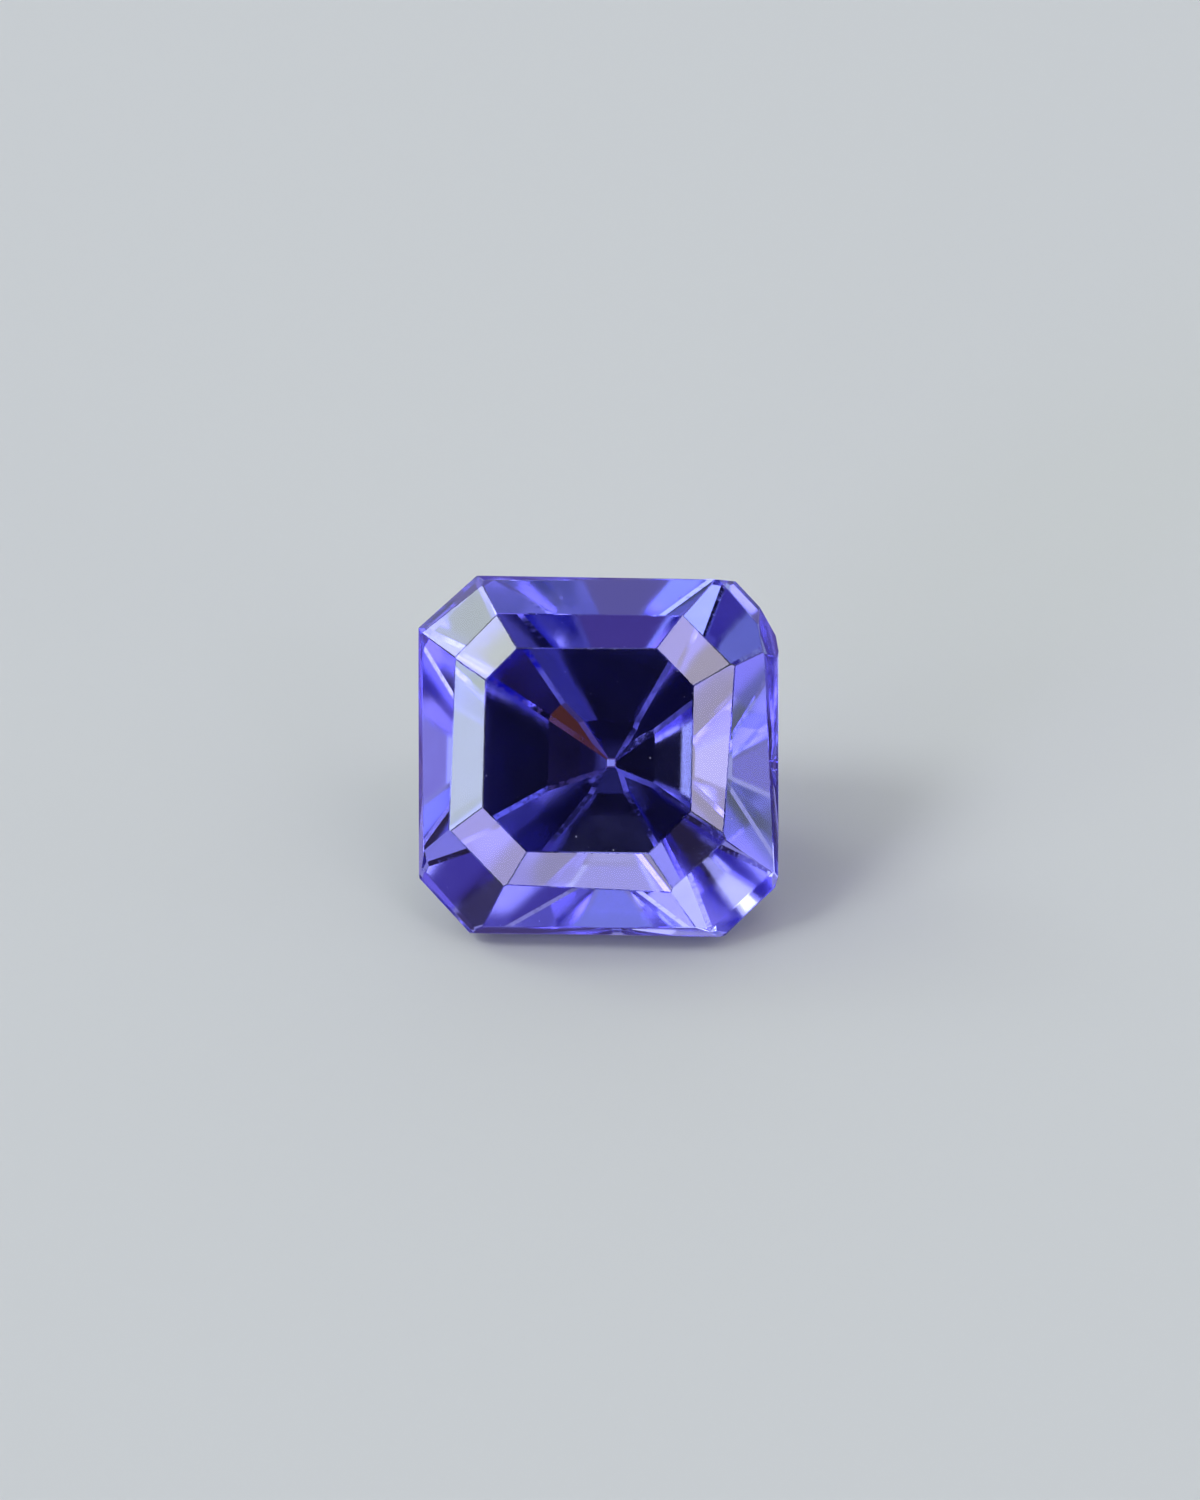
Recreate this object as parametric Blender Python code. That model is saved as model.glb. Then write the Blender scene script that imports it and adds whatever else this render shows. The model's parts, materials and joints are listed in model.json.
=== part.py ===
"""A cut tanzanite: a square step cut with cut corners, lying on a lower facet.

The stone is one solid. It is modelled the way a cutter works: a rough block is held with
its table up, and one flat facet after another is ground off it, tier by tier, at a set
slope and in one of eight directions. The finished stone is then tipped onto the front
facet of its middle pavilion tier, which it rests on.

Metres, +Z up. The stone's table looks towards -Y and up.
"""

import math
from collections import namedtuple

import bmesh
import bpy
from mathutils import Matrix, Vector

MM = 0.001

# The eight sides in order round the stone. Even ones are the four main sides, and odd ones
# are the four cut corners.
SIDES = ("right", "back_right", "back", "back_left", "left", "front_left", "front", "front_right")
SIDE_STEP = 360.0 / len(SIDES)

# Driving dimensions, in millimetres and degrees. A reach is the distance from the stone's
# axis to a facet's upper edge, and a tier's width is how much its main facets add to it or
# take from it. Slopes are from the girdle plane. A tier's corner facets are flatter than
# its main ones, so that the edges between them run towards the axis.
Tier = namedtuple("Tier", "slope corner_slope width")
TABLE_REACH = 2.31
TABLE_CORNER_REACH = 2.72
CROWN = (Tier(24.0, 20.7, 0.78), Tier(45.0, 40.4, 0.80), Tier(70.0, 56.0, 0.15))
GIRDLE_HEIGHT = 0.10
PAVILION = (Tier(60.0, 53.0, 0.50), Tier(47.0, 42.4, 2.50), Tier(42.0, 37.5, 1.04))
CULET_REACH = 0.09

# What the cutter's hand left uneven: how far each side stands out from its true place, on
# the broad tiers, on the steep crown tier and at the girdle, and the degrees it is turned.
BROAD_OFFSETS = (0.00, -0.05, -0.02, 0.06, 0.05, -0.16, -0.05, -0.15)
STEEP_OFFSETS = (0.00, 0.00, 0.02, 0.06, 0.05, -0.07, -0.04, -0.07)
GIRDLE_OFFSETS = (0.00, 0.05, 0.02, 0.05, 0.05, -0.03, -0.04, 0.05)
POINT_OFFSETS = (0.00,) * len(SIDES)
CROWN_OFFSETS = (BROAD_OFFSETS, BROAD_OFFSETS, STEEP_OFFSETS)
PAVILION_OFFSETS = (GIRDLE_OFFSETS, BROAD_OFFSETS, POINT_OFFSETS)
CROWN_TURNS = (
    (0.0, 0.5, 0.5, 1.0, 0.0, 1.0, 0.0, 1.0),
    (-1.5, 0.5, 0.0, 1.0, -0.5, 0.5, -1.0, -1.0),
    (1.5, -1.0, 0.5, -2.5, 1.5, -1.0, 0.0, -1.0),
)
TRUE_TURNS = (0.0,) * len(SIDES)

# One more small facet, which takes off the girdle's edge beside the back right corner.
EXTRA_DIRECTION = 22.0
EXTRA_SLOPE = 72.0
EXTRA_REACH = 4.42
EXTRA_HEIGHT = -1.20

ROUGH_HALF = 8.0
MERGE_DISTANCE = 1e-5

BODY_COLOUR = (0.07, 0.05, 0.55, 1.0)
ROUGHNESS = 0.02
REFRACTIVE_INDEX = 1.69


def rough_block():
    """The block that the stone is cut from, in millimetres, its top face at the table."""
    block = bmesh.new()
    bmesh.ops.create_cube(block, size=2 * ROUGH_HALF)
    bmesh.ops.translate(block, verts=block.verts, vec=(0, 0, -ROUGH_HALF))
    return block


def grind(block, reach, height, slope, direction, down=False):
    """Grind one flat facet through a point at this reach and height, and close the cut."""
    turn = Matrix.Rotation(math.radians(direction), 3, "Z")
    lean = math.radians(slope)
    lift = -math.cos(lean) if down else math.cos(lean)
    outward = turn @ Vector((math.sin(lean), 0, lift))
    point = turn @ Vector((reach, 0, height))
    geometry = block.verts[:] + block.edges[:] + block.faces[:]
    cut = bmesh.ops.bisect_plane(block, geom=geometry, plane_co=point, plane_no=outward,
                                 clear_outer=True)
    rim = [item for item in cut["geom_cut"] if isinstance(item, bmesh.types.BMEdge)]
    if rim:
        bmesh.ops.contextual_create(block, geom=rim)


def grind_tier(block, reaches, height, slopes, turns, offsets, down=False):
    """Grind a tier's eight facets. Reaches and slopes are pairs: main side, cut corner."""
    for number in range(len(SIDES)):
        kind = number % 2
        direction = number * SIDE_STEP + turns[number]
        grind(block, reaches[kind] + offsets[number], height, slopes[kind], direction, down)


def grind_crown(block):
    """Grind the crown's three tiers from the table out, and return where they end."""
    reaches = [TABLE_REACH, TABLE_CORNER_REACH]
    height = 0.0
    for tier, turns, offsets in zip(CROWN, CROWN_TURNS, CROWN_OFFSETS):
        slopes = (tier.slope, tier.corner_slope)
        grind_tier(block, reaches, height, slopes, turns, offsets)
        drop = tier.width * math.tan(math.radians(tier.slope))
        reaches[0] += tier.width
        reaches[1] += drop / math.tan(math.radians(tier.corner_slope))
        height -= drop
    grind(block, EXTRA_REACH, EXTRA_HEIGHT, EXTRA_SLOPE, EXTRA_DIRECTION)
    return reaches, height


def grind_girdle(block, reaches, height):
    """Grind the girdle's narrow upright band, and return the height of its lower edge."""
    grind_tier(block, reaches, height, (90.0, 90.0), CROWN_TURNS[-1], GIRDLE_OFFSETS)
    return height - GIRDLE_HEIGHT


def grind_pavilion(block, reaches, height):
    """Grind the pavilion's three tiers from the girdle down to the point, and the culet."""
    for tier, offsets in zip(PAVILION, PAVILION_OFFSETS):
        slopes = (tier.slope, tier.corner_slope)
        grind_tier(block, reaches, height, slopes, TRUE_TURNS, offsets, down=True)
        drop = tier.width * math.tan(math.radians(tier.slope))
        reaches[0] -= tier.width
        reaches[1] -= drop / math.tan(math.radians(tier.corner_slope))
        height -= drop
    culet_height = height + CULET_REACH * math.tan(math.radians(PAVILION[-1].slope))
    grind(block, 0.0, culet_height, 0.0, 0.0, down=True)


def cut_stone():
    """Cut the whole stone, in millimetres, with its table at height 0 and its point below."""
    block = rough_block()
    reaches, height = grind_crown(block)
    height = grind_girdle(block, reaches, height)
    grind_pavilion(block, reaches, height)
    bmesh.ops.remove_doubles(block, verts=block.verts, dist=MERGE_DISTANCE)
    bmesh.ops.recalc_face_normals(block, faces=block.faces)
    return block


def gem_material():
    """Clear violet-blue tanzanite."""
    material = bpy.data.materials.new("tanzanite crystal")
    material.use_nodes = True
    shader = material.node_tree.nodes["Principled BSDF"]
    shader.inputs["Base Color"].default_value = BODY_COLOUR
    shader.inputs["Roughness"].default_value = ROUGHNESS
    shader.inputs["Metallic"].default_value = 0.0
    shader.inputs["IOR"].default_value = REFRACTIVE_INDEX
    shader.inputs["Transmission Weight"].default_value = 1.0
    return material


def lay_down(stone):
    """Tip the stone onto the front facet of its middle pavilion tier, at the origin."""
    tip = Matrix.Rotation(math.radians(PAVILION[1].slope), 4, "X")
    corners = [tip @ vertex.co for vertex in stone.data.vertices]
    low = [min(corner[axis] for corner in corners) for axis in range(3)]
    high = [max(corner[axis] for corner in corners) for axis in range(3)]
    stone.rotation_euler = tip.to_euler()
    stone.location = (-(low[0] + high[0]) / 2, -(low[1] + high[1]) / 2, -low[2])


def main():
    for old in list(bpy.data.objects):
        bpy.data.objects.remove(old, do_unlink=True)
    block = cut_stone()
    bmesh.ops.scale(block, vec=(MM, MM, MM), verts=block.verts)
    mesh = bpy.data.meshes.new("tanzanite")
    block.to_mesh(mesh)
    block.free()
    mesh.materials.append(gem_material())
    stone = bpy.data.objects.new("tanzanite", mesh)
    bpy.context.scene.collection.objects.link(stone)
    lay_down(stone)


main()
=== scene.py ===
# %% [markdown]
# A cut tanzanite, seen close up.
# The stone is a square step cut with cut corners: three tiers of facets on top, a thin
# girdle, and three tiers below that run down to a small flat culet. It is one clear crystal,
# so nearly everything that the eye sees in it is the room, bent and coloured on its way
# through. The shape of the facets and the light round the stone matter more than any texture.

import json
import math

import bmesh
import bpy
from mathutils import Matrix, Vector
from mathutils.bvhtree import BVHTree


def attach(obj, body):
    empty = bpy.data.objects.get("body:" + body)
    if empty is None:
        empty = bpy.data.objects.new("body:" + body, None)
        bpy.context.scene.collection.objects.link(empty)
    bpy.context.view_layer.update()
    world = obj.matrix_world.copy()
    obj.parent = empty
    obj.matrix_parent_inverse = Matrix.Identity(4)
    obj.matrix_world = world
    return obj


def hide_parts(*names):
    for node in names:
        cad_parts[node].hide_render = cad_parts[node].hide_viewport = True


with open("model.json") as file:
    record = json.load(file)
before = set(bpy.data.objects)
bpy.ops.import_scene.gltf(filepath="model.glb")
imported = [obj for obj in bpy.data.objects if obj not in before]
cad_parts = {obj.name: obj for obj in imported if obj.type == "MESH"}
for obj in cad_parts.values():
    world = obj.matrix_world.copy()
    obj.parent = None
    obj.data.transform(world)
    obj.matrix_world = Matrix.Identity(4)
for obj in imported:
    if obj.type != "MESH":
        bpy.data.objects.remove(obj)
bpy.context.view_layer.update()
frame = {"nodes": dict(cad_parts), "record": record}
STONE = "tanzanite"
MM = 0.001

# %% [markdown]
# The stone lies tipped on one of its lower facets, so "up" for the cutter is not up for the
# floor. A cutter measures everything from the table, the big flat facet on top. The record
# says where the middle of the table is and which way it faces, and that gives one matrix
# between the cutter's millimetres and the scene's metres.

# %% The cutter's frame
mounts = {mount["name"]: mount for mount in frame["record"]["mounts"]}
table_centre = Vector(mounts["table_facet"]["pos_m"])
table_axis = Vector(mounts["table_facet"]["axis"]).normalized()
tip_angle = math.atan2(-table_axis.y, table_axis.z)
TIP = Matrix.Rotation(tip_angle, 4, "X")
TO_SCENE = Matrix.Translation(table_centre) @ TIP @ Matrix.Scale(MM, 4)
TO_CUTTER = TO_SCENE.inverted()
print("the stone is tipped by", round(math.degrees(tip_angle), 2), "degrees")

# %% [markdown]
# The camera looks almost straight into the table, a little from the right and from below.
# Its direction is given from the table's own axis, and its distance is that of a close-up
# lens. One pixel covers a 45th of a millimetre on the table, so the picture is 33 mm high
# there, which takes a long lens.

# %% The camera's place
LOOK_RIGHT = math.radians(8.3)
LOOK_UP = math.radians(-4.2)
ROLL = math.radians(1.25)
CAMERA_DISTANCE = 0.213
PIXEL = MM / 45
PICTURE = (1200, 1500)
TABLE_IN_PICTURE = (587.55, 748.17)

turn = TIP.to_3x3()
toward = Vector((math.tan(LOOK_RIGHT), math.tan(LOOK_UP), 1)).normalized()
right = Vector((0, 1, 0)).cross(toward).normalized()
upward = toward.cross(right)
rolled_right = math.cos(ROLL) * right + math.sin(ROLL) * upward
rolled_up = math.cos(ROLL) * upward - math.sin(ROLL) * right
VIEW_RIGHT, VIEW_UP, VIEW_BACK = turn @ rolled_right, turn @ rolled_up, turn @ toward

shift_right = (PICTURE[0] / 2 - TABLE_IN_PICTURE[0]) * PIXEL
shift_down = (PICTURE[1] / 2 - TABLE_IN_PICTURE[1]) * PIXEL
target = table_centre + VIEW_RIGHT * shift_right - VIEW_UP * shift_down
print("the camera looks at", tuple(round(x, 5) for x in target))

# %% [markdown]
# The lens follows from the distance and the picture's height. A camera in Blender looks
# along its own -Z, so the three directions of the view are the columns of its matrix. Depth
# of field stays off: everything is sharp, and the picture can be taken from any side.

# %% The camera
SENSOR = 36.0
NEAREST = 0.005

camera_data = bpy.data.cameras.new("close_up")
camera_data.sensor_width = SENSOR
camera_data.lens = SENSOR * CAMERA_DISTANCE / (PICTURE[1] * PIXEL)
camera_data.clip_start = NEAREST
camera = bpy.data.objects.new("close_up", camera_data)
place = Matrix((VIEW_RIGHT, VIEW_UP, VIEW_BACK)).transposed().to_4x4()
place.translation = target + VIEW_BACK * CAMERA_DISTANCE
camera.matrix_world = place
bpy.context.scene.collection.objects.link(camera)
bpy.context.scene.camera = camera
print("camera at", tuple(round(x, 4) for x in place.translation))
print("lens:", round(camera_data.lens), "mm")

# %% [markdown]
# A gem needs a room to mirror. Even light from everywhere makes it flat, so the studio is a
# pale dome over a dim violet bench, with round soft boxes of many sizes in it. Two things
# decide where each box goes. A facet on top mirrors one small patch of the room, and a box in
# that patch lays a milky veil on this facet alone. The light inside comes from elsewhere: it
# has been turned back by the facets below, so a box there brightens one band of the inside.
# Angles are counted from the camera, as seen from the stone.

# %% The soft boxes
DOME = (0.72, 0.74, 0.78)
BENCH = (0.20, 0.14, 0.34)
# Each box: degrees to the right of the camera, degrees above it, radius, soft edge, light.
DIM_PATCHES = (
    (-161, 72, 14, 6, (0.50, 0.60, 0.90)),
    (-65, 82, 9, 3, (0.15, 0.17, 0.25)),
    (69, 58, 12, 3, (0.05, 0.04, 0.10)),
    (55, 0, 12, 3, (0.20, 0.20, 0.35)),
    (-71, 8, 6, 2, (0.01, 0.01, 0.01)),
    (13, 31, 5, 2, (0.10, 0.10, 0.20)),
    (90, 3, 7, 3, (0.40, 0.30, 0.50)),
    (36, 22, 5, 2, (0.08, 0.08, 0.12)),
)
COOL_VEILS_LEFT = (
    (-88, 50, 12, 4, (2.2, 2.4, 1.8)),
    (-101, 43, 5, 2.5, (4.8, 5.4, 5.8)),
    (-64, 7, 2.5, 1.2, (6.2, 7.2, 7.2)),
    (-53, 35, 8, 4, (7.6, 8.2, 8.0)),
)
LILAC_VEILS_BELOW = (
    (-47, -20, 7, 4, (5.0, 4.6, 8.5)),
    (-20, -38, 5, 3, (4.0, 3.8, 6.5)),
)
INSIDE_BANDS = (
    (-61, -18, 4, 2, (2.2, 2.0, 1.8)),
    (-73, -6, 6, 3, (1.8, 2.3, 2.0)),
    (-60, -2, 4, 2, (2.0, 2.4, 1.8)),
    (-67, -30, 6, 3, (0.6, 0.75, 1.0)),
    (-61, -49, 8, 4, (1.3, 1.7, 1.3)),
    (-29, -24, 4, 2, (4.0, 4.3, 3.2)),
    (0, -45, 5, 3, (2.0, 1.9, 1.6)),
    (26, -44, 6, 3, (1.2, 1.0, 1.3)),
    (48, -19, 6, 3, (4.8, 5.0, 3.5)),
    (31, 37, 4, 2, (1.8, 1.6, 1.5)),
    (-1, 64, 7, 4, (1.9, 2.3, 2.0)),
    (-38, 66, 5, 3, (1.5, 1.6, 1.8)),
)
LILAC_VEILS_RIGHT = (
    (32, 7, 2.5, 1.5, (4.8, 4.4, 6.5)),
    (18, 38, 3, 2, (5.2, 4.8, 6.4)),
    (72, 3, 8, 5, (1.3, 1.5, 1.9)),
)
print("dome:", DOME, "bench:", BENCH)

# %% [markdown]
# The facets under the table send the eye's ray straight back past the camera. The camera and
# its stand are dark, so the middle of the stone is dark too, and it needs this large black
# spot in the room. A ray that leaves through the culet or beside it goes on behind the stone,
# and meets a small glow and a warm red-brown patch there.

# %% The dark and the warm patches
CAMERA_SIDE = (0.010, 0.010, 0.012)
CAMERA_SHADOW = (
    (-8, 4, 28, 4, CAMERA_SIDE),
    (-22, 55, 8, 4, CAMERA_SIDE),
    (-6, 44, 7, 3, CAMERA_SIDE),
    (19, -23, 9, 3, (0.20, 0.15, 0.35)),
    (35, -10, 5, 3, (0.06, 0.06, 0.16)),
    (-36, -21, 3, 1.5, (0.30, 0.20, 0.45)),
    (-23, 24, 3.5, 1.5, (1.0, 1.1, 1.4)),
)
BEHIND_THE_STONE = (
    (150, -18, 14, 5, (0.17, 0.05, 0.02)),
    (172, 1, 7, 3, (0.8, 0.9, 1.3)),
)
SOFT_BOXES = (DIM_PATCHES + COOL_VEILS_LEFT + LILAC_VEILS_BELOW + INSIDE_BANDS
              + LILAC_VEILS_RIGHT + CAMERA_SHADOW + BEHIND_THE_STONE)
print("patches in the room:", len(SOFT_BOXES))

# %% [markdown]
# Each box is a round patch in the world's shader: the dot product of a direction with the
# box's own direction says how near its middle a ray points. A later box covers an earlier
# one. Lamps would do the same, but a patch of the world makes less noise in glass.

# %% One soft box
world = bpy.data.worlds.new("studio")
bpy.context.scene.world = world
world.use_nodes = True
studio = world.node_tree
studio.nodes.clear()
directions = studio.nodes.new("ShaderNodeTexCoord").outputs["Generated"]


def seen_at(degrees_right, degrees_up):
    """The scene's direction that lies this far to the right of the camera and above it."""
    across, rise = math.radians(degrees_right), math.radians(degrees_up)
    level = VIEW_RIGHT * math.sin(across) + VIEW_BACK * math.cos(across)
    return (level * math.cos(rise) + VIEW_UP * math.sin(rise)).normalized()


def add_soft_box(light, where, radius, edge, colour):
    """Lay one round soft box over the light so far, and return the new light socket."""
    near = studio.nodes.new("ShaderNodeVectorMath")
    near.operation = "DOT_PRODUCT"
    near.inputs[1].default_value = where
    studio.links.new(directions, near.inputs[0])
    mask = studio.nodes.new("ShaderNodeMapRange")
    mask.interpolation_type = "SMOOTHSTEP"
    mask.inputs["From Min"].default_value = math.cos(math.radians(radius + edge))
    mask.inputs["From Max"].default_value = math.cos(math.radians(radius))
    studio.links.new(near.outputs["Value"], mask.inputs["Value"])
    mix = studio.nodes.new("ShaderNodeMix")
    mix.data_type = "RGBA"
    factor, under, over = mix.inputs[0], mix.inputs[6], mix.inputs[7]
    studio.links.new(mask.outputs["Result"], factor)
    studio.links.new(light, under)
    over.default_value = (*colour, 1.0)
    return mix.outputs[2]


print("behind the camera is", tuple(round(x, 3) for x in seen_at(0, 0)))

# %% [markdown]
# The room starts as the pale dome. The bench fills it from below, about up to the horizon,
# and the boxes follow one after another. The stone sees all of this. The camera itself sees
# an even grey past the floor instead, so that no box shows beside the stone.

# %% The studio light
# The bench's radius and soft edge are in degrees from straight down.
BENCH_RADIUS = 86
BENCH_EDGE = 6
STRAIGHT_DOWN = Vector((0, 0, -1))
BACKDROP = (0.62, 0.62, 0.63)

dome = studio.nodes.new("ShaderNodeRGB")
dome.outputs[0].default_value = (*DOME, 1.0)
light = add_soft_box(dome.outputs[0], STRAIGHT_DOWN, BENCH_RADIUS, BENCH_EDGE, BENCH)
for across, rise, radius, edge, colour in SOFT_BOXES:
    light = add_soft_box(light, seen_at(across, rise), radius, edge, colour)
room = studio.nodes.new("ShaderNodeBackground")
studio.links.new(light, room.inputs["Color"])
backdrop = studio.nodes.new("ShaderNodeBackground")
backdrop.inputs["Color"].default_value = (*BACKDROP, 1.0)
ray = studio.nodes.new("ShaderNodeLightPath")
choose = studio.nodes.new("ShaderNodeMixShader")
studio.links.new(ray.outputs["Is Camera Ray"], choose.inputs[0])
studio.links.new(room.outputs[0], choose.inputs[1])
studio.links.new(backdrop.outputs[0], choose.inputs[2])
world_output = studio.nodes.new("ShaderNodeOutputWorld")
studio.links.new(choose.outputs[0], world_output.inputs["Surface"])
bpy.context.scene.view_settings.view_transform = "Standard"
print("nodes in the world:", len(studio.nodes))

# %% [markdown]
# Light bounces many times inside a cut stone before it comes out. Blender stops after four
# mirror bounces unless it is told otherwise, and the stone would then look dead.

# %% Bounces
MOST_BOUNCES = 16

cycles = bpy.context.scene.cycles
cycles.max_bounces = MOST_BOUNCES
cycles.glossy_bounces = MOST_BOUNCES
cycles.transmission_bounces = MOST_BOUNCES
cycles.caustics_refractive = True
cycles.caustics_reflective = True
print("bounces:", MOST_BOUNCES)

# %% [markdown]
# The floor is a plain pale sheet. It goes on the stage, so it isn't part of the stone. The
# stone casts its shadow on it but doesn't mirror it: a pale sheet right under the stone would
# shine up through it and wash the violet out, and the dim bench in the world stands there
# instead.

# %% The floor
FLOOR_HALF = 0.4
FLOOR_GREY = 0.66
PAPER_ROUGHNESS = 0.7


def plain_material(name, colour, roughness):
    """A material with one colour and roughness, ready for more nodes."""
    material = bpy.data.materials.new(name)
    material.use_nodes = True
    shader = material.node_tree.nodes["Principled BSDF"]
    shader.inputs["Base Color"].default_value = (*colour, 1.0)
    shader.inputs["Roughness"].default_value = roughness
    return material


def object_from(name, mesh_maker, material):
    """Turn a bmesh into an object of the scene with this material."""
    mesh = bpy.data.meshes.new(name)
    mesh_maker.to_mesh(mesh)
    mesh_maker.free()
    mesh.materials.append(material)
    made = bpy.data.objects.new(name, mesh)
    bpy.context.scene.collection.objects.link(made)
    return made


sheet = bmesh.new()
bmesh.ops.create_grid(sheet, size=FLOOR_HALF)
paper = plain_material("pale paper", (FLOOR_GREY,) * 3, PAPER_ROUGHNESS)
floor = object_from("floor", sheet, paper)
floor.visible_glossy = False
floor.visible_transmission = False
print("floor:", 2 * FLOOR_HALF, "m wide")

# %% [markdown]
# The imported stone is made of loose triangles. Merging them and dissolving the flat edges
# gives the facets back, each as one polygon, so that its edges can be worked on. The mesh is
# built anew from bare corners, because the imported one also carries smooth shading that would
# bend the light on a flat facet.

# %% The facets
WELD = 1e-7
FLAT = math.radians(0.3)

packed = frame["nodes"][STONE].data
bare = bpy.data.meshes.new("bare")
bare.from_pydata([vertex.co for vertex in packed.vertices], [],
                 [face.vertices[:] for face in packed.polygons])
stone = bmesh.new()
stone.from_mesh(bare)
bpy.data.meshes.remove(bare)
bmesh.ops.remove_doubles(stone, verts=stone.verts, dist=WELD)
stone.transform(TO_CUTTER)
stone.normal_update()
bmesh.ops.dissolve_limit(stone, angle_limit=FLAT, verts=stone.verts, edges=stone.edges)
stone.normal_update()
print("facets:", len(stone.faces), "open edges:", sum(not e.is_manifold for e in stone.edges))

# %% [markdown]
# No two facets of a real stone meet in a perfect line. The polishing wheel leaves a flat of
# some hundredths of a millimetre along each edge, called an arris here. On the top it is a
# hair-thin line. Under the table, where the eight ridges run together at the culet, it is
# wider, and each ridge lights up as a streak. A Bevel modifier would trip over the short
# edges at the corners, so each arris is one more plane cut, half way between the two facets'
# normals. That always works on a stone that bulges everywhere.

# %% Planning the arrises
# Widths and lengths are in millimetres. FACES_DOWN is compared with a normal's height.
ARRIS = 0.03
RIDGE = 0.12
SHORTEST_EDGE = 0.08
SMALLEST_BEND = math.radians(0.8)
FACES_DOWN = -0.05
CULET_FACES_DOWN = -0.99
LEAST_TURN, MOST_TURN = math.radians(20), math.radians(70)


def is_ridge(first, second):
    """True between a main facet and a corner facet of the underside."""
    down = first.z < FACES_DOWN and second.z < FACES_DOWN
    culet = min(first.z, second.z) <= CULET_FACES_DOWN
    apart = abs(math.atan2(first.y, first.x) - math.atan2(second.y, second.x))
    apart = min(apart, 2 * math.pi - apart)
    return down and not culet and LEAST_TURN < apart < MOST_TURN


def plan_arrises(stone):
    """The planes that take off the stone's edges, as pairs of a point and a normal."""
    planes = []
    for edge in stone.edges:
        first, second = [facet.normal.copy() for facet in edge.link_faces]
        bend = first.angle(second)
        if edge.calc_length() < SHORTEST_EDGE or bend < SMALLEST_BEND:
            continue
        width = RIDGE if is_ridge(first, second) else ARRIS
        outward = (first + second).normalized()
        middle = (edge.verts[0].co + edge.verts[1].co) / 2
        planes.append((middle - outward * (width * math.tan(bend / 2) / 2), outward))
    return planes


table_facet = max(stone.faces, key=lambda face: face.normal.z * face.calc_area())
table_corners = [vertex.co.copy() for vertex in table_facet.verts]
arrises = plan_arrises(stone)
print("arrises:", len(arrises), "table corners:", len(table_corners))

# %% [markdown]
# Each cut is closed with one new face, which belongs to the worn finish. What is left of the
# facets below gets a finish of its own. The table's corners were kept first, because the
# nicks along its edge need them.

# %% Cutting the arrises
MERGE = 1e-5
FACET_SLOT, ARRIS_SLOT, LOWER_SLOT = 0, 1, 2


def cut_plane(stone, point, outward):
    """Cut the stone with one plane, and close it with one new face."""
    parts = stone.verts[:] + stone.edges[:] + stone.faces[:]
    cut = bmesh.ops.bisect_plane(stone, geom=parts, plane_co=point, plane_no=outward,
                                 clear_outer=True)
    rim = [item for item in cut["geom_cut"] if isinstance(item, bmesh.types.BMEdge)]
    if rim:
        for face in bmesh.ops.contextual_create(stone, geom=rim)["faces"]:
            face.material_index = ARRIS_SLOT


for point, outward in arrises:
    cut_plane(stone, point, outward)
bmesh.ops.remove_doubles(stone, verts=stone.verts, dist=MERGE)
bmesh.ops.recalc_face_normals(stone, faces=stone.faces)
for face in stone.faces:
    if face.normal.z < FACES_DOWN and face.material_index == FACET_SLOT:
        face.material_index = LOWER_SLOT
print("faces with arrises:", len(stone.faces))

# %% [markdown]
# The polish of a stone is almost a mirror, with a faint haze of finger grease in patches.
# Three finishes use it, each with its own sizes, so it is one shader group: soft noise,
# stretched to run from the smoothest to the roughest value. Noise on Object coordinates
# stays on the stone when it is moved. A helper makes the empty group with its named inputs,
# and it will make the Geometry Nodes trees further down as well.

# %% The polish group
HAZE_STARTS = 0.45
HAZE_ENDS = 0.75
HAZE_DETAIL = 3.0


def node_group(name, kind, inputs, output):
    """A node group with one output. Inputs are a name, a socket type and a value each."""
    tree = bpy.data.node_groups.new(name, kind)
    for label, socket_type, value in inputs:
        socket = tree.interface.new_socket(name=label, in_out="INPUT", socket_type=socket_type)
        if value is not None:
            socket.default_value = value
    label, socket_type = output
    tree.interface.new_socket(name=label, in_out="OUTPUT", socket_type=socket_type)
    return tree


def patchy_polish():
    """The shader group: roughness in soft patches of a size."""
    tree = node_group("patchy polish", "ShaderNodeTree", (
        ("Patches per metre", "NodeSocketFloat", 1 / MM),
        ("Smoothest", "NodeSocketFloat", 0.0),
        ("Roughest", "NodeSocketFloat", 0.1),
    ), ("Roughness", "NodeSocketFloat"))
    nodes, links = tree.nodes, tree.links
    given = nodes.new("NodeGroupInput")
    where = nodes.new("ShaderNodeTexCoord")
    patches = nodes.new("ShaderNodeTexNoise")
    patches.inputs["Detail"].default_value = HAZE_DETAIL
    links.new(where.outputs["Object"], patches.inputs["Vector"])
    links.new(given.outputs["Patches per metre"], patches.inputs["Scale"])
    polish = nodes.new("ShaderNodeMapRange")
    polish.inputs["From Min"].default_value = HAZE_STARTS
    polish.inputs["From Max"].default_value = HAZE_ENDS
    links.new(given.outputs["Smoothest"], polish.inputs["To Min"])
    links.new(given.outputs["Roughest"], polish.inputs["To Max"])
    links.new(patches.outputs["Fac"], polish.inputs["Value"])
    result = nodes.new("NodeGroupOutput")
    links.new(polish.outputs["Result"], result.inputs["Roughness"])
    return tree


POLISH = patchy_polish()
print("polish group:", [item.name for item in POLISH.interface.items_tree])

# %% [markdown]
# Tanzanite bends light by 1.69 and drinks its green and red. Both are plain numbers: the
# refractive index is on the glass shader and the colour is in the absorption behind it, so a
# long way through the stone is deep violet-blue and a short one is nearly clear. The facets
# on top are mirrors. The arrises are worn, and the lower facets are a little softer, which
# blurs what is seen through the table as a lens does that is focused on the top.

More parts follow.
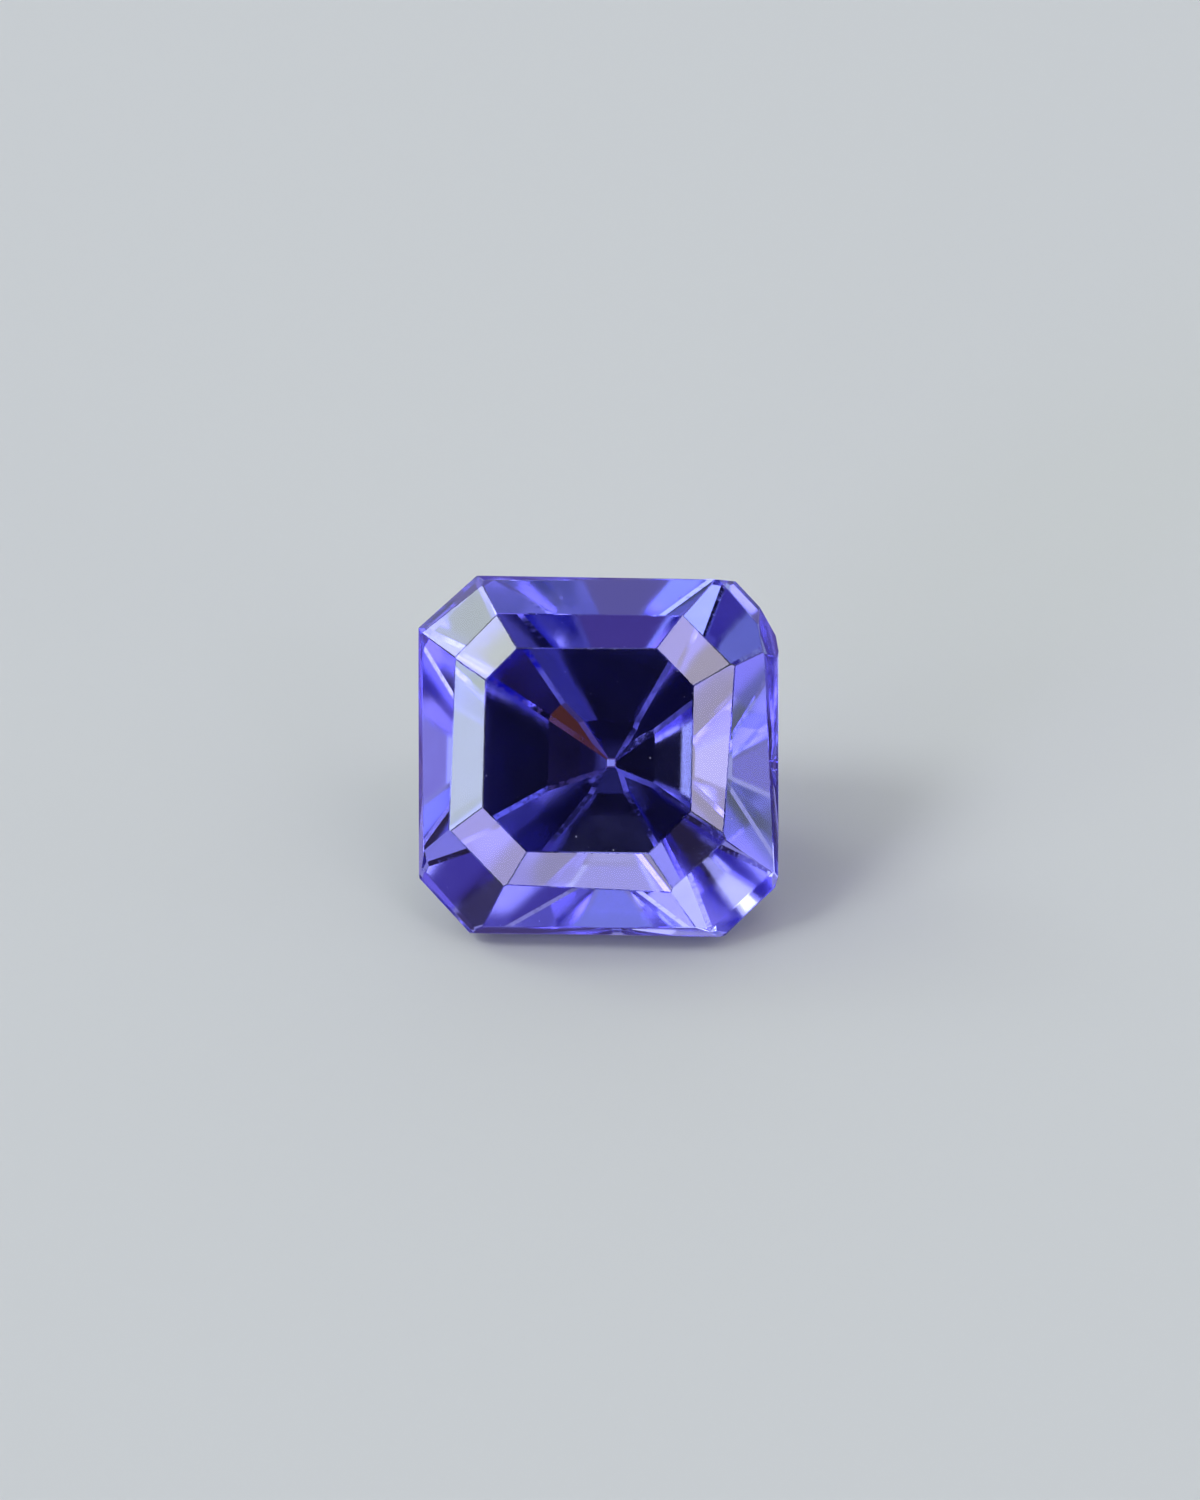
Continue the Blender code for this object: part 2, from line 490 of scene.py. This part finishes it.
# %% The crystal
REFRACTIVE_INDEX = 1.69
ABSORPTION_COLOUR = (0.04, 0.01, 0.90)
ABSORPTION_DENSITY = 160.0


def crystal(name, smoothest, roughest, patch):
    """Clear tanzanite whose polish goes from smooth to rough in patches of a size."""
    material = bpy.data.materials.new(name)
    material.use_nodes = True
    nodes, links = material.node_tree.nodes, material.node_tree.links
    shader = nodes["Principled BSDF"]
    shader.inputs["Base Color"].default_value = (1.0, 1.0, 1.0, 1.0)
    shader.inputs["IOR"].default_value = REFRACTIVE_INDEX
    shader.inputs["Transmission Weight"].default_value = 1.0
    polish = nodes.new("ShaderNodeGroup")
    polish.node_tree = POLISH
    polish.inputs["Patches per metre"].default_value = 1 / patch
    polish.inputs["Smoothest"].default_value = smoothest
    polish.inputs["Roughest"].default_value = roughest
    links.new(polish.outputs["Roughness"], shader.inputs["Roughness"])
    depth = nodes.new("ShaderNodeVolumeAbsorption")
    depth.inputs["Color"].default_value = (*ABSORPTION_COLOUR, 1.0)
    depth.inputs["Density"].default_value = ABSORPTION_DENSITY
    links.new(depth.outputs["Volume"], nodes["Material Output"].inputs["Volume"])
    return material


print("refractive index:", REFRACTIVE_INDEX, "absorption density:", ABSORPTION_DENSITY)

# %% [markdown]
# The three finishes differ only in their polish, so that the light goes from one to the next
# as through one crystal. The stone goes back from the cutter's millimetres into the scene,
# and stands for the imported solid.

# %% The dressed stone
# Each finish: the smoothest and roughest polish, and the size of its patches.
FACET_POLISH = (0.0, 0.012, 0.8 * MM)
ARRIS_POLISH = (0.02, 0.30, 0.15 * MM)
LOWER_POLISH = (0.09, 0.11, 0.8 * MM)

stone.transform(TO_SCENE)
facet_polish = crystal("tanzanite facet polish", *FACET_POLISH)
arris_polish = crystal("tanzanite arris wear", *ARRIS_POLISH)
lower_polish = crystal("tanzanite lower polish", *LOWER_POLISH)
gem = object_from("cut_stone", stone, facet_polish)
gem.data.materials.append(arris_polish)
gem.data.materials.append(lower_polish)
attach(gem, "root")
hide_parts(STONE)
print("stone:", len(gem.data.polygons), "faces,", len(gem.data.materials), "finishes")

# %% [markdown]
# A stone seen this close always carries a little dust, and its table has tiny nicks along
# its edge, as pale as crushed glass. Both are small lumps, each in two tones of its own. Two
# materials use these tones, so they too are one shader group.

# %% The speck materials
SPECK_BLOTCH = 0.05 * MM
SPECK_ROUGHNESS = 0.8
DUST_DARK, DUST_LIGHT = (0.20, 0.19, 0.20), (0.60, 0.60, 0.66)
NICK_DARK, NICK_LIGHT = (0.25, 0.24, 0.42), (0.62, 0.62, 0.85)


def speck_tones():
    """The shader group: a colour that runs from dark to light in blotches."""
    tree = node_group("speck tones", "ShaderNodeTree", (
        ("Dark", "NodeSocketColor", (0.0, 0.0, 0.0, 1.0)),
        ("Light", "NodeSocketColor", (1.0, 1.0, 1.0, 1.0)),
    ), ("Tone", "NodeSocketColor"))
    nodes, links = tree.nodes, tree.links
    given = nodes.new("NodeGroupInput")
    where = nodes.new("ShaderNodeTexCoord")
    blotch = nodes.new("ShaderNodeTexNoise")
    blotch.inputs["Scale"].default_value = 1 / SPECK_BLOTCH
    links.new(where.outputs["Object"], blotch.inputs["Vector"])
    tone = nodes.new("ShaderNodeMix")
    tone.data_type = "RGBA"
    factor, dark, light_tone = tone.inputs[0], tone.inputs[6], tone.inputs[7]
    links.new(blotch.outputs["Fac"], factor)
    links.new(given.outputs["Dark"], dark)
    links.new(given.outputs["Light"], light_tone)
    result = nodes.new("NodeGroupOutput")
    links.new(tone.outputs[2], result.inputs["Tone"])
    return tree


def speck_material(name, dark, light_tone):
    """A matt material in two tones."""
    material = plain_material(name, light_tone, SPECK_ROUGHNESS)
    nodes, links = material.node_tree.nodes, material.node_tree.links
    tones = nodes.new("ShaderNodeGroup")
    tones.node_tree = TONES
    tones.inputs["Dark"].default_value = (*dark, 1.0)
    tones.inputs["Light"].default_value = (*light_tone, 1.0)
    links.new(tones.outputs["Tone"], nodes["Principled BSDF"].inputs["Base Color"])
    return material


TONES = speck_tones()
pale_dust = speck_material("pale dust", DUST_DARK, DUST_LIGHT)
worn_edge = speck_material("abraded crystal", NICK_DARK, NICK_LIGHT)
print("speck materials:", pale_dust.name, "and", worn_edge.name)

# %% [markdown]
# Geometry Nodes put a lump on each of many points, with its own size and turn. Only where
# the points come from differs: the faces of a mesh for fine dust, its corners for the larger
# grains, and its edges for the nicks. So one function makes the lumps, and three short ones
# make the points. Each of the three needs other numbers, and these are named inputs of the
# tree that it is used in.

# %% The points
GRAINS_PER_AREA = 1 / MM ** 2
NICK_STEP = 0.03 * MM
NICKS_DROPPED = 0.85


def points_on_faces(nodes, links, given):
    """Points scattered over a mesh's faces."""
    points = nodes.new("GeometryNodeDistributePointsOnFaces")
    links.new(given.outputs["Surface"], points.inputs["Mesh"])
    links.new(given.outputs["Grains per area"], points.inputs["Density"])
    links.new(given.outputs["Seed"], points.inputs["Seed"])
    return points.outputs["Points"]


def points_at_corners(nodes, links, given):
    """One point at each vertex of a mesh."""
    points = nodes.new("GeometryNodeMeshToPoints")
    links.new(given.outputs["Surface"], points.inputs["Mesh"])
    return points.outputs["Points"]


def points_along_edges(nodes, links, given):
    """Uneven points along a mesh's edges: even ones, some dropped, the rest moved aside."""
    line = nodes.new("GeometryNodeMeshToCurve")
    links.new(given.outputs["Surface"], line.inputs["Mesh"])
    even = nodes.new("GeometryNodeCurveToPoints")
    even.mode = "LENGTH"
    links.new(line.outputs["Curve"], even.inputs["Curve"])
    links.new(given.outputs["Step"], even.inputs["Length"])
    drop = nodes.new("FunctionNodeRandomValue")
    drop.data_type = "BOOLEAN"
    links.new(given.outputs["Share dropped"], drop.inputs["Probability"])
    links.new(given.outputs["Seed"], drop.inputs["Seed"])
    kept = nodes.new("GeometryNodeDeleteGeometry")
    links.new(even.outputs["Points"], kept.inputs["Geometry"])
    links.new(drop.outputs[3], kept.inputs["Selection"])
    aside = nodes.new("FunctionNodeRandomValue")
    aside.data_type = "FLOAT_VECTOR"
    aside.inputs[0].default_value = (-1, -1, -1)
    aside.inputs[1].default_value = (1, 1, 1)
    links.new(given.outputs["Seed"], aside.inputs["Seed"])
    offset = nodes.new("ShaderNodeVectorMath")
    offset.operation = "SCALE"
    links.new(aside.outputs[0], offset.inputs[0])
    links.new(given.outputs["Step"], offset.inputs["Scale"])
    moved = nodes.new("GeometryNodeSetPosition")
    links.new(kept.outputs["Geometry"], moved.inputs["Geometry"])
    links.new(offset.outputs["Vector"], moved.inputs["Offset"])
    return moved.outputs["Geometry"]


POINT_INPUTS = {
    points_on_faces: (("Grains per area", "NodeSocketFloat", GRAINS_PER_AREA),),
    points_at_corners: (),
    points_along_edges: (
        ("Step", "NodeSocketFloat", NICK_STEP),
        ("Share dropped", "NodeSocketFloat", NICKS_DROPPED),
    ),
}
print("a nick about every", round(NICK_STEP / MM / (1 - NICKS_DROPPED), 2), "mm")

# %% [markdown]
# One lump is a small ball with dents. Each of its points is drawn in by soft noise, which is
# a half on average, so a lump is about one unit across.

# %% The lumps
DENT_SCALE = 1.3
LUMP_DETAIL = 2


def dented_lump(nodes, links):
    """A lump about one unit across."""
    ball = nodes.new("GeometryNodeMeshIcoSphere")
    ball.inputs["Radius"].default_value = 1.0
    ball.inputs["Subdivisions"].default_value = LUMP_DETAIL
    dent = nodes.new("ShaderNodeTexNoise")
    dent.inputs["Scale"].default_value = DENT_SCALE
    where = nodes.new("GeometryNodeInputPosition")
    push = nodes.new("ShaderNodeVectorMath")
    push.operation = "SCALE"
    links.new(where.outputs["Position"], push.inputs[0])
    links.new(dent.outputs["Fac"], push.inputs["Scale"])
    shape = nodes.new("GeometryNodeSetPosition")
    links.new(ball.outputs["Mesh"], shape.inputs["Geometry"])
    links.new(push.outputs["Vector"], shape.inputs["Position"])
    return shape.outputs["Geometry"]


print("a lump is an icosphere of", LUMP_DETAIL, "levels")

# %% [markdown]
# The tree puts a lump on each point, and gives it a random size and turn. It ends in Realize
# Instances and Set Material, so that the lumps are real mesh and carry their finish.

# %% The speck tree
SMALLEST_LUMP, LARGEST_LUMP = 0.01 * MM, 0.02 * MM


def speck_tree(name, make_points):
    """A Geometry Nodes tree that puts a dented lump on each point."""
    tree = node_group(name, "GeometryNodeTree", (
        ("Surface", "NodeSocketGeometry", None),
        *POINT_INPUTS[make_points],
        ("Smallest", "NodeSocketFloat", SMALLEST_LUMP),
        ("Largest", "NodeSocketFloat", LARGEST_LUMP),
        ("Seed", "NodeSocketInt", 0),
        ("Material", "NodeSocketMaterial", None),
    ), ("Specks", "NodeSocketGeometry"))
    nodes, links = tree.nodes, tree.links
    given = nodes.new("NodeGroupInput")
    size = nodes.new("FunctionNodeRandomValue")
    links.new(given.outputs["Smallest"], size.inputs[2])
    links.new(given.outputs["Largest"], size.inputs[3])
    links.new(given.outputs["Seed"], size.inputs["Seed"])
    spin = nodes.new("FunctionNodeRandomValue")
    spin.data_type = "FLOAT_VECTOR"
    spin.inputs[1].default_value = (2 * math.pi,) * 3
    links.new(given.outputs["Seed"], spin.inputs["Seed"])
    put = nodes.new("GeometryNodeInstanceOnPoints")
    links.new(make_points(nodes, links, given), put.inputs["Points"])
    links.new(dented_lump(nodes, links), put.inputs["Instance"])
    links.new(spin.outputs["Value"], put.inputs["Rotation"])
    links.new(size.outputs[1], put.inputs["Scale"])
    real = nodes.new("GeometryNodeRealizeInstances")
    links.new(put.outputs["Instances"], real.inputs["Geometry"])
    paint = nodes.new("GeometryNodeSetMaterial")
    links.new(real.outputs["Geometry"], paint.inputs["Geometry"])
    links.new(given.outputs["Material"], paint.inputs["Material"])
    result = nodes.new("NodeGroupOutput")
    links.new(paint.outputs["Geometry"], result.inputs["Specks"])
    return tree


print("lumps are", SMALLEST_LUMP / MM, "to", LARGEST_LUMP / MM, "mm unless told otherwise")

# %% [markdown]
# A modifier runs the tree on a mesh. Its inputs are set by their identifiers before Blender
# works it out for the first time. The result is copied as a plain mesh, and the modifier
# goes, so the piece that is handed over has nothing live in it.

# %% Sprinkling
def sprinkle(name, surface, make_points, values, material):
    """Run a speck tree on a bmesh, and make its lumps one plain piece of the stone."""
    source = object_from(name, surface, material)
    modifier = source.modifiers.new("specks", "NODES")
    modifier.node_group = speck_tree(name.replace("_", " "), make_points)
    sockets = {item.name: item.identifier for item in modifier.node_group.interface.items_tree
               if item.in_out == "INPUT"}
    for key, value in values.items():
        modifier[sockets[key]] = value
    modifier[sockets["Material"]] = material
    bpy.context.view_layer.update()
    shown = source.evaluated_get(bpy.context.evaluated_depsgraph_get())
    lumps = bpy.data.meshes.new_from_object(shown)
    source.modifiers.remove(modifier)
    source.data = lumps
    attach(source, "root")
    print(name, len(lumps.vertices), "vertices")


print("ways to make points:", [make.__name__ for make in POINT_INPUTS])

# %% [markdown]
# The fine dust lies on the facets that are turned well up towards the table's side, because
# dust hardly shows on the others. The larger grains have places of their own, given across
# the table in the cutter's millimetres, and a ray dropped along the table's axis finds the
# facet that each one lies on.

# %% The dust
TOP_FACETS_FACE = 0.55
ABOVE_THE_TABLE = 1.0
FINE_DUST = {
    "Grains per area": GRAINS_PER_AREA,
    "Smallest": 0.005 * MM,
    "Largest": 0.011 * MM,
    "Seed": 11,
}
GRAIN_SIZES = {
    "Smallest": 0.020 * MM,
    "Largest": 0.034 * MM,
    "Seed": 5,
}
LARGER_GRAINS = (
    (-2.26, -0.64), (-0.21, -1.97), (0.63, -2.26), (1.41, -0.20), (3.20, -1.50),
    (1.88, 3.47), (-3.10, 1.70),
)

top = bmesh.new()
top.from_mesh(gem.data)
below = [face for face in top.faces if face.normal.dot(table_axis) < TOP_FACETS_FACE]
bmesh.ops.delete(top, geom=below, context="FACES")
surface = BVHTree.FromBMesh(top)
spots = bmesh.new()
for across, up in LARGER_GRAINS:
    above = TO_SCENE @ Vector((across, up, ABOVE_THE_TABLE))
    spots.verts.new(surface.ray_cast(above, -table_axis)[0])
sprinkle("fine_dust", top, points_on_faces, FINE_DUST, pale_dust)
sprinkle("larger_grains", spots, points_at_corners, GRAIN_SIZES, pale_dust)

# %% [markdown]
# The nicks sit along the table's edge, the one edge that rubs against everything. The edge
# is a ring of eight lines between the table's corners, which were kept before the arrises
# took the corners off.

# %% The nicks
NICKS = {
    "Smallest": 0.006 * MM,
    "Largest": 0.018 * MM,
    "Seed": 8,
}

rim = bmesh.new()
round_table = [rim.verts.new(TO_SCENE @ corner) for corner in table_corners]
for first, second in zip(round_table, round_table[1:] + round_table[:1]):
    rim.edges.new((first, second))
sprinkle("edge_nicks", rim, points_along_edges, NICKS, worn_edge)
